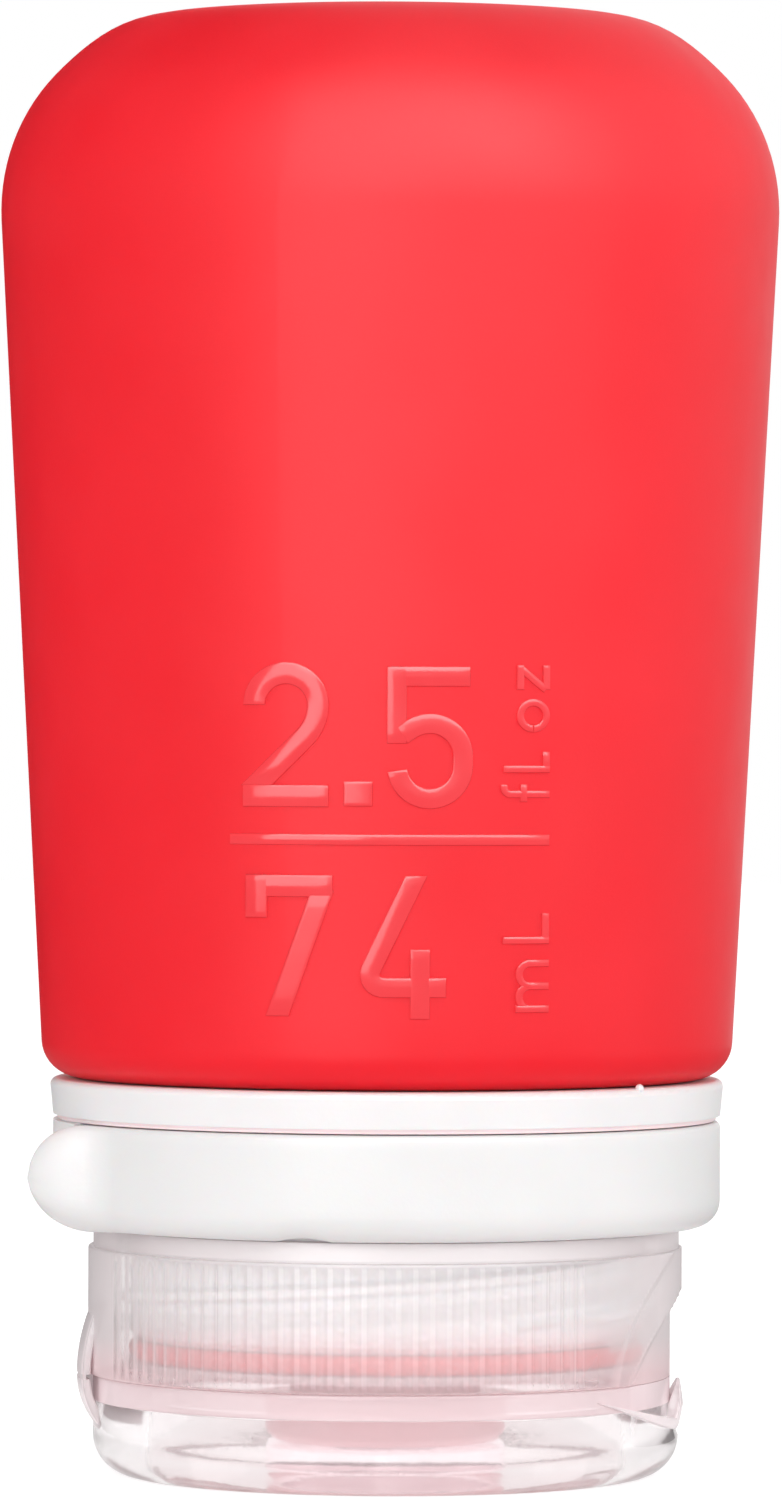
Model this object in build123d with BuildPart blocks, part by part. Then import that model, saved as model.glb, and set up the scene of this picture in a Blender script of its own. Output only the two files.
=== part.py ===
from build123d import *

import os
from math import acos, asin, cos, degrees, radians, sin

# Squeeze bottle of soft silicone with a collar, a swinging loop arm and a screw cap with a flip lid.
# It stands upside down: +Z is up, z = 0 is the lid's flat end and the origin is the centre of that end.
# The lid's hinge is at -X and its thumb scoop at +X. Lengths are millimetres and angles are degrees,
# counted about +Z from +X.

# Clearances
part_gap = 0.3
face_gap = 0.05
seam_gap = 0.12
pin_fit = 0.02
running_gap = 0.06
cut_overrun = 1.0

# Screw cap, whose radius sets the lid, the collar, the neck and the foot of the body
cap_radius = 17.5
skirt_height = 7.48
skirt_wall = 1.5
cap_rim_inset = 0.3
cap_rim_height = 0.95
deck_thickness = 1.6
platform_depth = 1.27
spout_radius = 7.05
spout_wall = 1.45
spout_edge_round = 0.4
valve_seat_thickness = 0.8

# Flip lid
lid_inset = 0.3
lid_height = 5.85
lid_end_thickness = 1.9
lid_wall = 1.45
lid_edge_round = 1.8
lid_inner_round = 0.6
rim_round = 0.15
plug_radius = 2.9
plug_wall = 0.7
plug_height = 0.8
plug_tip_chamfer = 0.25

# Ribs moulded on the two gripping sides of the skirt
flute_count = 33
flute_pitch_angle = 3.2
flute_radius = 0.36
flute_depth = 0.2
flute_centre_angle = -102.0
flute_margin_low = 0.35
flute_margin_high = 0.5

# Thumb scoop in cap and lid
scoop_depth = 0.8
scoop_plan_flattening = 2.5
scoop_width_share = 0.703
scoop_rise_over_skirt = 0.92
scoop_floor_drop = 2.2
scoop_cove_radius = 3.0

# Thumb lip that stands out of the lid under the scoop
lip_span_angle = 43.0
lip_reach = 0.25
lip_low_drop = 3.05
lip_high_drop = 2.35
lip_tip_drop = 0.6
lip_tip_thickness = 0.2
lip_end_drop = 0.65
tongue_half_width = 3.2

# Bowed strap hinge
strap_width = 8.0
strap_thickness = 0.5
strap_stand_off = 0.65
strap_cap_bow = 10.3
strap_lid_bow = 4.5
strap_cap_bite = 0.14
strap_lid_bite = 0.23
strap_film_length = 0.3
strap_pocket_depth = 0.35
strap_pocket_height = 3.3

# Valve and its retaining ring
valve_flange_thickness = 0.8
valve_dome_radius = 3.0
valve_dome_rise = 0.9
valve_skin = 0.35
valve_slit_width = 0.1
valve_slit_length = 3.8
retainer_height = 1.8
retainer_bore_radius = 3.6
retainer_chamfer = 0.5

# Gasket
gasket_thickness = 0.45
gasket_mouth_margin = 0.4
gasket_rim_margin = 0.2

# Silicone bottle body
body_height = 62.2
body_radius_high = 23.47
body_foot_overhang = 0.4
body_corner_low = 2.2
body_corner_high = 11.47
body_wall = 1.5
base_wall = 1.6
shoulder_wall = 1.8
cavity_corner_low = 3.0
neck_wall = 1.4
neck_mouth_round = 2.0
lip_overhang = 0.1
lip_thickness = 1.15
lip_round = 0.3

# Collar
sleeve_wall = 1.35
sleeve_chamfer = 0.4
thread_room = 1.0
flange_overhang = 0.2
flange_thickness = 2.1
flange_round = 0.4

# Band of the collar and of the loop arm
band_overhang = 2.1
band_thickness = 2.45
band_height = 6.15
band_seam = 0.35
band_low_round = 1.5
band_edge_round = 0.3
seam_groove_depth = 0.4

# Loop arm: pivot, flared tab and latch tongue
pivot_angle = 12.0
pin_radius = 0.6
pin_socket_depth = 1.2
lug_height = 1.25
arm_swing_room = 0.25
flare_angle = -143.0
flare_inner_radius = 3.0
flare_heading = 168.0
tab_length = 3.76
latch_thickness = 0.8
latch_height = 1.6
latch_reach = 1.0
latch_mouth_angle = 3.0
rear_band_angle = -157.5
relief_angle = -105.0
relief_length = 3.5
relief_height = 0.2

# Levels
cap_edge_z = lid_height + seam_gap
platform_z = cap_edge_z - platform_depth
deck_z = platform_z + deck_thickness
gasket_z = deck_z + face_gap
lip_z = gasket_z + gasket_thickness + face_gap
sleeve_z = lip_z + lip_thickness + face_gap
cap_rim_z = cap_edge_z + skirt_height + cap_rim_height
band_z = cap_rim_z + part_gap
band_top_z = band_z + band_height
flange_z = band_top_z + band_seam
shoulder_z = flange_z + flange_thickness + face_gap
top_z = shoulder_z + body_height
spout_z = lid_end_thickness + part_gap
valve_z = spout_z + valve_seat_thickness + face_gap
retainer_z = valve_z + valve_flange_thickness + face_gap
hinge_z = lid_height + seam_gap / 2

# Radii that follow from the fits
cap_rim_radius = cap_radius - cap_rim_inset
cap_bore_radius = cap_radius - skirt_wall
valve_pocket_radius = spout_radius - spout_wall
lid_radius = cap_radius - lid_inset
lid_inner_radius = lid_radius - lid_wall
platform_radius = lid_inner_radius - part_gap
orifice_radius = plug_radius + part_gap
sleeve_radius = cap_bore_radius - thread_room
sleeve_bore_radius = sleeve_radius - sleeve_wall
neck_radius = sleeve_bore_radius - face_gap
lip_radius = sleeve_radius + lip_overhang
gasket_outer_radius = lip_radius + gasket_rim_margin
gasket_inner_radius = neck_radius - neck_wall + gasket_mouth_margin
band_radius = cap_radius + band_overhang
flange_radius = band_radius + flange_overhang
body_radius_low = flange_radius + body_foot_overhang
strap_reach = cap_radius + strap_stand_off
band_inner_radius = band_radius - band_thickness
core_radius = band_inner_radius - part_gap
pivot_radius = band_radius - band_thickness / 2
pivot = Vector(pivot_radius * cos(radians(pivot_angle)), pivot_radius * sin(radians(pivot_angle)))


def radial_plane(angle):
    """Upright plane through the bottle's axis: local x points outwards at the angle, local y up."""
    outwards = Vector(cos(radians(angle)), sin(radians(angle)), 0)
    return Plane(origin=(0, 0, 0), x_dir=outwards, z_dir=outwards.rotate(Axis.Z, -90))


def ring_sector(inner_radius, outer_radius, start_angle, end_angle):
    """Face between two radii and two angles, drawn in the sketch that is open."""
    sweep_angle = end_angle - start_angle
    with BuildLine() as outline:
        inner_arc = CenterArc((0, 0), inner_radius, start_angle, sweep_angle)
        outer_arc = CenterArc((0, 0), outer_radius, start_angle, sweep_angle)
        Line(inner_arc @ 0, outer_arc @ 0)
        Line(inner_arc @ 1, outer_arc @ 1)
    make_face(outline.edges())


# Cutter of the thumb scoop: upright, flatter in plan than the skirt, arched, with a cove at its edge
scoop_face_x = cap_radius - scoop_depth
scoop_half_width = cap_radius * scoop_width_share
scoop_plan_radius = cap_radius + scoop_plan_flattening
scoop_centre_x = scoop_face_x - scoop_plan_radius
scoop_floor_z = lid_height - scoop_floor_drop
scoop_span = skirt_height + scoop_rise_over_skirt + scoop_floor_drop
with BuildPart() as scoop_cutter:
    with BuildSketch(Plane.XY.offset(scoop_floor_z)):
        with Locations((scoop_centre_x + scoop_plan_radius / 2, 0)):
            Rectangle(scoop_plan_radius, scoop_half_width * 2, align=(Align.MIN, Align.CENTER))
        with Locations((scoop_centre_x, 0)):
            Circle(scoop_plan_radius, mode=Mode.SUBTRACT)
    extrude(amount=scoop_span)
    with BuildSketch(Plane.YZ):
        with Locations((0, scoop_floor_z)):
            Ellipse(scoop_half_width, scoop_span)
    extrude(amount=cap_radius + scoop_plan_radius, mode=Mode.INTERSECT)
    cove_edges = scoop_cutter.faces().sort_by(Axis.X)[0].edges().sort_by(Axis.Z)[1:]
    fillet(cove_edges, scoop_cove_radius)


def strap_half(bow_radius, film_side, wall_radius, bite):
    """Half of the bowed strap, from its film at the hinge axis to its root, which bites into the wall."""
    film_angle = degrees(asin(strap_film_length / 2 / bow_radius))
    root_angle = degrees(acos(1 - (strap_reach - wall_radius + bite) / bow_radius))
    start = 180 - film_side * film_angle
    sweep_angle = film_side * (film_angle - root_angle)
    centre = (bow_radius - strap_reach, hinge_z)
    with BuildSketch(Plane.XZ.offset(-strap_width / 2)) as strap:
        with BuildLine() as outline:
            outer_arc = CenterArc(centre, bow_radius, start, sweep_angle)
            inner_arc = CenterArc(centre, bow_radius - strap_thickness, start, sweep_angle)
            Line(inner_arc @ 0, outer_arc @ 0)
            Line(inner_arc @ 1, outer_arc @ 1)
        make_face(outline.edges())
    extrude(strap.sketch, amount=strap_width)


# Cap: skirt, deck, platform that the lid closes on, spout boss and the valve's pocket
with BuildPart() as cap_base:
    with BuildSketch(Plane.XZ) as cap_outline:
        with BuildLine():
            Polyline(
                (orifice_radius, spout_z),
                (spout_radius, spout_z),
                (spout_radius, platform_z),
                (platform_radius, platform_z),
                (platform_radius, cap_edge_z),
                (cap_radius, cap_edge_z),
                (cap_radius, cap_edge_z + skirt_height),
                (cap_rim_radius, cap_edge_z + skirt_height),
                (cap_rim_radius, cap_rim_z),
                (cap_bore_radius, cap_rim_z),
                (cap_bore_radius, deck_z),
                (valve_pocket_radius, deck_z),
                (valve_pocket_radius, spout_z + valve_seat_thickness),
                (orifice_radius, spout_z + valve_seat_thickness),
                close=True,
            )
        make_face()
        spout_corner = cap_outline.vertices().sort_by_distance((spout_radius, spout_z))[0]
        fillet(spout_corner, spout_edge_round)
        skirt_corners = cap_outline.vertices().filter_by(lambda v: abs(v.X - cap_radius) < rim_round)
        fillet(skirt_corners, rim_round)
    revolve(axis=Axis.Z)
    # Flutes on the front and back gripping sides leave narrow ribs between them
    flute_z = cap_edge_z + flute_margin_low
    flute_length = skirt_height - flute_margin_low - flute_margin_high
    flute_circle = cap_radius + flute_radius - flute_depth
    flute_span = (flute_count - 1) * flute_pitch_angle
    for centre_angle in (flute_centre_angle, -flute_centre_angle):
        with BuildSketch(Plane.XY.offset(flute_z)):
            with PolarLocations(flute_circle, flute_count, centre_angle - flute_span / 2, flute_span):
                Circle(flute_radius)
        extrude(amount=flute_length, mode=Mode.SUBTRACT)
    add(scoop_cutter.part, mode=Mode.SUBTRACT)
    # Flat behind the strap, so that the strap can bow
    with Locations((-cap_radius + strap_pocket_depth, 0, cap_edge_z)):
        Box(
            cut_overrun,
            strap_width + 2 * part_gap,
            strap_pocket_height,
            align=(Align.MAX, Align.CENTER, Align.MIN),
            mode=Mode.SUBTRACT,
        )
    strap_half(strap_cap_bow, 1, cap_radius, strap_cap_bite)
cap_base.part.label = "cap_base"

# Lid: shallow cup that the bottle stands on, with a plug for the spout and a lip for the thumb
with BuildPart() as thumb_lip:
    with BuildSketch(radial_plane(-lip_span_angle)):
        with BuildLine():
            Polyline(
                (scoop_face_x - part_gap, lid_height - lip_low_drop),
                (lid_radius, lid_height - lip_low_drop),
                (lid_radius + lip_reach, lid_height - (lip_low_drop + lip_tip_drop) / 2),
                (lid_radius + lip_tip_thickness / 2, lid_height - lip_tip_drop),
                (lid_radius - lip_tip_thickness / 2, lid_height - lip_tip_drop),
                (scoop_face_x, lid_height - (lip_low_drop + lip_tip_drop) / 2),
                (scoop_face_x - part_gap, lid_height - lip_high_drop),
                close=True,
            )
        make_face()
    revolve(axis=Axis.Z, revolution_arc=2 * lip_span_angle)
    with BuildSketch(Plane.YZ) as lip_front:
        with BuildLine():
            ThreePointArc(
                (-scoop_half_width, lid_height - lip_end_drop),
                (0, lid_height - lip_low_drop),
                (scoop_half_width, lid_height - lip_end_drop),
            )
            ThreePointArc(
                (-scoop_half_width, lid_height - lip_end_drop),
                (0, lid_height - lip_high_drop),
                (scoop_half_width, lid_height - lip_end_drop),
            )
        make_face()
        tongue_rise = lip_low_drop - lip_tip_drop
        with Locations((0, lid_height - lip_low_drop)):
            Ellipse(tongue_half_width, tongue_rise)
        with Locations((0, lid_height - lip_low_drop)):
            Rectangle(
                2 * tongue_half_width,
                tongue_rise,
                align=(Align.CENTER, Align.MAX),
                mode=Mode.SUBTRACT,
            )
    extrude(amount=cap_radius + cut_overrun, mode=Mode.INTERSECT)

with BuildPart() as flip_lid:
    with BuildSketch(Plane.XZ) as lid_outline:
        with BuildLine():
            Polyline(
                (0, 0),
                (lid_radius, 0),
                (lid_radius, lid_height),
                (lid_inner_radius, lid_height),
                (lid_inner_radius, lid_end_thickness),
                (plug_radius, lid_end_thickness),
                (plug_radius, lid_end_thickness + plug_height),
                (plug_radius - plug_wall, lid_end_thickness + plug_height),
                (plug_radius - plug_wall, lid_end_thickness),
                (0, lid_end_thickness),
                close=True,
            )
        make_face()
        end_corner = lid_outline.vertices().sort_by_distance((lid_radius, 0))[0]
        fillet(end_corner, lid_edge_round)
        floor_corner = lid_outline.vertices().sort_by_distance((lid_inner_radius, lid_end_thickness))[0]
        fillet(floor_corner, lid_inner_round)
        rim_corner = lid_outline.vertices().sort_by_distance((lid_radius, lid_height))[0]
        fillet(rim_corner, rim_round)
        plug_tip = (plug_radius, lid_end_thickness + plug_height)
        plug_corner = lid_outline.vertices().sort_by_distance(plug_tip)[0]
        chamfer(plug_corner, plug_tip_chamfer)
    revolve(axis=Axis.Z)
    add(scoop_cutter.part, mode=Mode.SUBTRACT)
    add(thumb_lip.part)
    strap_half(strap_lid_bow, -1, lid_radius, strap_lid_bite)
flip_lid.part.label = "flip_lid"

# Valve: flanged silicone disc whose dome has a crossed slit
with BuildPart() as valve:
    valve_flange_radius = valve_pocket_radius - face_gap
    dome_radius = (valve_dome_radius**2 + valve_dome_rise**2) / (2 * valve_dome_rise)
    dome_base_z = valve_z + valve_skin
    with BuildSketch(Plane.XZ):
        with BuildLine():
            Line((0, dome_base_z + valve_dome_rise), (0, dome_base_z + valve_dome_rise - valve_skin))
            RadiusArc(
                (0, dome_base_z + valve_dome_rise - valve_skin),
                (valve_dome_radius - valve_skin, valve_z),
                dome_radius - valve_skin,
            )
            Polyline(
                (valve_dome_radius - valve_skin, valve_z),
                (valve_flange_radius, valve_z),
                (valve_flange_radius, valve_z + valve_flange_thickness),
                (valve_dome_radius, valve_z + valve_flange_thickness),
                (valve_dome_radius, dome_base_z),
            )
            RadiusArc((0, dome_base_z + valve_dome_rise), (valve_dome_radius, dome_base_z), dome_radius)
        make_face()
    revolve(axis=Axis.Z)
    slit_height = valve_flange_thickness + valve_dome_rise + cut_overrun
    with Locations((0, 0, valve_z)):
        for slit_turn in (0, 90):
            Box(
                valve_slit_length,
                valve_slit_width,
                slit_height,
                rotation=(0, 0, slit_turn),
                align=(Align.CENTER, Align.CENTER, Align.MIN),
                mode=Mode.SUBTRACT,
            )
valve.part.label = "valve"

with BuildPart() as valve_retainer:
    with BuildSketch(Plane.XY.offset(retainer_z)):
        Circle(valve_pocket_radius - face_gap)
        Circle(retainer_bore_radius, mode=Mode.SUBTRACT)
    extrude(amount=retainer_height)
    mouth_edge = valve_retainer.faces().sort_by(Axis.Z)[-1].edges().sort_by(SortBy.RADIUS)[0]
    chamfer(mouth_edge, retainer_chamfer)
valve_retainer.part.label = "valve_retainer"

with BuildPart() as cap_gasket:
    with BuildSketch(Plane.XY.offset(gasket_z)):
        Circle(gasket_outer_radius)
        Circle(gasket_inner_radius, mode=Mode.SUBTRACT)
    extrude(amount=gasket_thickness)
cap_gasket.part.label = "cap_gasket"

# Silicone body: flared shell with a large rounding at its top, a neck and a sealing lip
with BuildPart() as bottle_body:
    with BuildSketch(Plane.XZ) as shell_outline:
        with BuildLine():
            Polyline(
                (0, shoulder_z),
                (body_radius_low, shoulder_z),
                (body_radius_high, top_z),
                (0, top_z),
                close=True,
            )
        make_face()
        foot_corner = (body_radius_low, shoulder_z)
        fillet(shell_outline.vertices().sort_by_distance(foot_corner)[0], body_corner_low)
        top_corner = (body_radius_high, top_z)
        fillet(shell_outline.vertices().sort_by_distance(top_corner)[0], body_corner_high)
    revolve(axis=Axis.Z)
    with BuildSketch(Plane.XY.offset(lip_z)):
        Circle(neck_radius)
    extrude(amount=shoulder_z - lip_z + shoulder_wall / 2)
    with BuildSketch(Plane.XY.offset(lip_z)):
        Circle(lip_radius)
    extrude(amount=lip_thickness)
    round_edges = bottle_body.edges().filter_by(GeomType.CIRCLE)
    low_edges = round_edges.filter_by(lambda edge: edge.center().Z < sleeve_z)
    fillet(low_edges.filter_by(lambda edge: edge.radius > neck_radius + lip_round), lip_round)
    cavity_z = shoulder_z + shoulder_wall
    with BuildSketch(Plane.XZ) as cavity_outline:
        with BuildLine():
            Polyline(
                (0, lip_z - cut_overrun),
                (neck_radius - neck_wall, lip_z - cut_overrun),
                (neck_radius - neck_wall, cavity_z),
                (body_radius_low - body_wall, cavity_z),
                (body_radius_high - body_wall, top_z - base_wall),
                (0, top_z - base_wall),
                close=True,
            )
        make_face()
        cavity_corners = (
            ((neck_radius - neck_wall, cavity_z), neck_mouth_round),
            ((body_radius_low - body_wall, cavity_z), cavity_corner_low),
            ((body_radius_high - body_wall, top_z - base_wall), body_corner_high - body_wall),
        )
        for corner, corner_round in cavity_corners:
            fillet(cavity_outline.vertices().sort_by_distance(corner)[0], corner_round)
    revolve(axis=Axis.Z, mode=Mode.SUBTRACT)
bottle_body.part.label = "bottle_body"

# Collar: sleeve for the cap's thread, core behind the arm, flange and the fixed rear half of the band
with BuildPart() as collar:
    with BuildSketch(Plane.XZ) as collar_outline:
        with BuildLine():
            Polyline(
                (sleeve_bore_radius, sleeve_z),
                (sleeve_radius, sleeve_z),
                (sleeve_radius, band_z),
                (core_radius, band_z),
                (core_radius, flange_z),
                (band_radius, flange_z),
                (flange_radius, flange_z + flange_thickness),
                (sleeve_bore_radius, flange_z + flange_thickness),
                close=True,
            )
        make_face()
        flange_corner = (flange_radius, flange_z + flange_thickness)
        fillet(collar_outline.vertices().sort_by_distance(flange_corner)[0], flange_round)
        sleeve_tip = (sleeve_radius, sleeve_z)
        chamfer(collar_outline.vertices().sort_by_distance(sleeve_tip)[0], sleeve_chamfer)
    revolve(axis=Axis.Z)
    # Rear band, which stops short of the pivot so that the arm can stand square to it
    pivot_room = band_thickness / 2 + arm_swing_room
    rear_start_angle = pivot_angle + degrees(pivot_room / pivot_radius)
    rear_span_angle = rear_band_angle + 360 - rear_start_angle
    with BuildSketch(radial_plane(rear_start_angle)) as rear_section:
        with Locations((core_radius - part_gap, band_z)):
            Rectangle(
                band_radius - core_radius + part_gap,
                flange_z - band_z,
                align=(Align.MIN, Align.MIN),
            )
        with Locations((band_radius - seam_groove_depth, band_top_z)):
            Rectangle(
                seam_groove_depth, band_seam, align=(Align.MIN, Align.MIN), mode=Mode.SUBTRACT
            )
        fillet(rear_section.vertices().sort_by_distance((band_radius, band_z))[0], band_low_round)
    revolve(axis=Axis.Z, revolution_arc=rear_span_angle)
    # Lug under the arm's knuckle
    with BuildSketch(Plane.XY.offset(band_z)):
        with Locations(pivot):
            Circle(band_thickness / 2)
        ring_sector(core_radius - part_gap, pivot_radius, pivot_angle, rear_start_angle)
    extrude(amount=lug_height)
    # Holes for the pin, through the lug and blind in the flange
    with BuildSketch(Plane.XY.offset(band_z)):
        with Locations(pivot):
            Circle(pin_radius + pin_fit)
    extrude(amount=flange_z - band_z + pin_socket_depth, mode=Mode.SUBTRACT)
    # Socket for the arm's latch tongue in the front end of the rear band
    latch_z = band_z + (band_height - latch_height) / 2
    latch_inner_radius = band_inner_radius + running_gap
    latch_outer_radius = latch_inner_radius + latch_thickness
    latch_end_angle = rear_band_angle - degrees(latch_reach / latch_outer_radius)
    socket_end_angle = latch_end_angle - degrees(part_gap / latch_outer_radius)
    with BuildSketch(Plane.XY.offset(latch_z - part_gap)):
        socket_mouth_angle = rear_band_angle + latch_mouth_angle
        ring_sector(core_radius, latch_outer_radius + part_gap, socket_end_angle, socket_mouth_angle)
    extrude(amount=latch_height + 2 * part_gap, mode=Mode.SUBTRACT)
collar.part.label = "collar"

# Loop arm: the band's front half, hinged on the pin, with its free end flared into a round tab
with BuildPart() as loop_arm:
    flare_span_angle = flare_heading - (flare_angle + 360 - 90)
    with BuildSketch(radial_plane(flare_angle)) as arm_section:
        with Locations((band_inner_radius, band_z)):
            Rectangle(band_thickness, band_height, align=(Align.MIN, Align.MIN))
        fillet(arm_section.vertices().sort_by_distance((band_radius, band_z))[0], band_low_round)
        fillet(arm_section.vertices().group_by(Axis.Y)[-1], band_edge_round)
    revolve(axis=Axis.Z, revolution_arc=pivot_angle - flare_angle)
    flare_circle = band_radius + flare_inner_radius
    flare_centre = (flare_circle * cos(radians(flare_angle)), flare_circle * sin(radians(flare_angle)))
    flare_axis = Axis((*flare_centre, 0), (0, 0, 1))
    revolve(arm_section.sketch, axis=flare_axis, revolution_arc=flare_span_angle)
    heading = Vector(cos(radians(flare_heading)), sin(radians(flare_heading)))
    end_faces = loop_arm.faces().filter_by(GeomType.PLANE)
    extrude(end_faces.sort_by(lambda face: face.normal_at().dot(heading))[-1], amount=tab_length)
    # Knuckle that closes the arm's end round the pin
    with BuildSketch(Plane.XY.offset(band_z)):
        with Locations(pivot):
            Circle(band_thickness / 2)
    extrude(amount=band_height)
    # Full-round outline of the tab
    tab_tip_x = loop_arm.vertices().sort_by(Axis.X)[0].X
    tab_round = band_height / 2
    with BuildSketch(Plane.XZ):
        with Locations((tab_tip_x + tab_round, band_z + tab_round)):
            Circle(tab_round)
            Rectangle(2 * flare_circle, band_height, align=(Align.MIN, Align.CENTER))
    extrude(amount=flare_circle, both=True, mode=Mode.INTERSECT)
    # Tongue that latches in the rear band
    with BuildSketch(Plane.XY.offset(latch_z)):
        ring_sector(latch_inner_radius, latch_outer_radius, latch_end_angle, flare_angle)
    extrude(amount=latch_height)
    # Room for the collar's lug under the knuckle, turned about the pin
    with BuildSketch(Plane.XY.offset(band_z - cut_overrun)):
        with Locations(pivot):
            Circle(band_thickness / 2 + arm_swing_room)
    extrude(amount=lug_height + part_gap + cut_overrun, mode=Mode.SUBTRACT)
    with BuildSketch(Plane.XY.offset(band_z)):
        with Locations(pivot):
            Circle(pin_radius + running_gap)
    extrude(amount=band_height, mode=Mode.SUBTRACT)
    # Shallow arched relief in the lower edge
    relief_radius = (relief_length**2 / 4 + relief_height**2) / (2 * relief_height)
    relief_plane = Plane(
        origin=(0, 0, band_z + relief_height - relief_radius),
        z_dir=(cos(radians(relief_angle)), sin(radians(relief_angle)), 0),
    )
    with BuildSketch(relief_plane):
        Circle(relief_radius)
    extrude(amount=band_radius + cut_overrun, mode=Mode.SUBTRACT)
loop_arm.part.label = "loop_arm"

with BuildPart() as loop_pin:
    with BuildSketch(Plane.XY.offset(band_z + face_gap)):
        with Locations(pivot):
            Circle(pin_radius)
    extrude(amount=flange_z - band_z + pin_socket_depth - 2 * face_gap)
loop_pin.part.label = "loop_pin"

os.makedirs("parts", exist_ok=True)
pieces = (
    bottle_body,
    collar,
    loop_arm,
    loop_pin,
    cap_base,
    flip_lid,
    valve,
    valve_retainer,
    cap_gasket,
)
for piece in pieces:
    export_step(piece.part, f"parts/{piece.part.label}.step")
    print(piece.part.label, round(piece.part.volume, 1))
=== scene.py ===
# %% [markdown]
# # A travel squeeze bottle
# The bottle stands upside down on its flip lid: a soft red silicone body, a white collar with a
# swinging loop arm, and a clear screw cap with a lid. The imported model gives the solids, the joints
# and the shared frame. This lesson dresses them: most visible pieces are rebuilt with finer rounding
# and small forms and told which body they move with, and each visible piece gets its finish from nodes.

# %% Load the imported model
import math

import bmesh
import bpy
from mathutils import Matrix, Vector


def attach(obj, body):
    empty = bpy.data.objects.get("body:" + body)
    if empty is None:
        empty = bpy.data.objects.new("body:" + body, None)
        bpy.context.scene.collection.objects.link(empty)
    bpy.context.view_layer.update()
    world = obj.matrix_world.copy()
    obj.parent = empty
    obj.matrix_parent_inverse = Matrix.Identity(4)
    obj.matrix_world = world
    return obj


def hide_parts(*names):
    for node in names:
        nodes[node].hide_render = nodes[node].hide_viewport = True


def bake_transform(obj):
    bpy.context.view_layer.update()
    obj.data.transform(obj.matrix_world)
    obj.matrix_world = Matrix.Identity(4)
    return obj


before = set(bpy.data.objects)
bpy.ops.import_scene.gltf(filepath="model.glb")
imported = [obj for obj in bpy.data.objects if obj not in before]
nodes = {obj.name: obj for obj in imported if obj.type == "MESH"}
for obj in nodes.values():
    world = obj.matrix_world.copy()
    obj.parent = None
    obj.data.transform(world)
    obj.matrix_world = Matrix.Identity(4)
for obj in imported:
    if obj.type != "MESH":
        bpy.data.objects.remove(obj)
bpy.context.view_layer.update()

scene = bpy.context.scene
mm = 0.001
print("nodes:", sorted(nodes))

# %% [markdown]
# ## Camera
# The photograph was taken from far away and nearly level: the rims of the bottle are very flat
# ellipses, whose depth grows with the distance below the eye. Those curves give the eye's height and
# its distance. A long lens repeats them, a tilt of half a degree frames the bottle, and a small roll
# repeats the lean of its axis.

# %% Camera at the photograph's height, distance and lean
eye_distance = 529 * mm
eye_height = 47.0 * mm
aim_height = 42.55 * mm
aim_side = 0.17 * mm
lean = math.radians(0.235)
camera_data = bpy.data.cameras.new("camera")
camera_data.lens = 216.0
camera_data.sensor_width = 36.0
camera_data.clip_start = 0.01
camera_data.clip_end = 50.0
camera = bpy.data.objects.new("camera", camera_data)
scene.collection.objects.link(camera)
tilt = math.atan2(eye_height - aim_height, eye_distance)
camera.matrix_world = (
    Matrix.Translation((aim_side, -eye_distance, eye_height))
    @ Matrix.Rotation(math.radians(90) - tilt, 4, "X")
    @ Matrix.Rotation(lean, 4, "Z")
)
scene.camera = camera
print("camera tilt in degrees:", round(math.degrees(tilt), 2))

# %% [markdown]
# ## Helpers for node trees
# Surround, floor and finishes are all trees of nodes. A few helpers keep them short: they feed a
# node's inputs, or add a sum, a range or a mix of colours. A value may be plain or come from a node.

# %% Inputs, sums, ranges and mixes


def plug(tree, socket, value):
    """Feeds an input from another node's output, or sets it to a plain value."""
    if isinstance(value, bpy.types.NodeSocket):
        tree.links.new(value, socket)
    else:
        socket.default_value = (*value, 1) if socket.type == "RGBA" else value


def set_inputs(tree, node, **inputs):
    """Feeds a node's inputs; an underscore in a name stands for a space."""
    for name, value in inputs.items():
        plug(tree, node.inputs[name.replace("_", " ")], value)


def add_math(tree, operation, *values):
    """Result of a calculation on values."""
    node = tree.nodes.new("ShaderNodeMath")
    node.operation = operation
    for socket, value in zip(node.inputs, values):
        plug(tree, socket, value)
    return node.outputs["Value"]


def add_range(tree, source, low, high, to_low=0.0, to_high=1.0):
    """Map of a value from one range to another."""
    node = tree.nodes.new("ShaderNodeMapRange")
    set_inputs(tree, node, Value=source, From_Min=low, From_Max=high, To_Min=to_low, To_Max=to_high)
    return node.outputs["Result"]


def add_mix(tree, factor, first, second):
    """Colour between a first and a second one."""
    node = tree.nodes.new("ShaderNodeMix")
    node.data_type = "RGBA"
    set_inputs(tree, node, Factor=factor, A=first, B=second)
    return node.outputs["Result"]


def level_by_ray(tree, level, level_seen, *rays):
    """One level for the named kinds of ray, and another for all the others."""
    path = tree.nodes.new("ShaderNodeLightPath")
    seen = path.outputs[rays[0]]
    for ray in rays[1:]:
        seen = add_math(tree, "MAXIMUM", seen, path.outputs[ray])
    return add_range(tree, seen, 0.0, 1.0, level, level_seen)


print("node helpers:", [f.__name__ for f in (set_inputs, add_math, add_range, add_mix, level_by_ray)])

# %% [markdown]
# ## Light
# Studio light for a white catalogue picture: a white surround and four softboxes, a large one above
# the camera, a small one at its height that reaches under the band, and a fill at each side. The
# softboxes give light but aren't mirrored, so brightness and gloss can be set apart. The camera and
# clear plastic see the surround as plain white.

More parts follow.
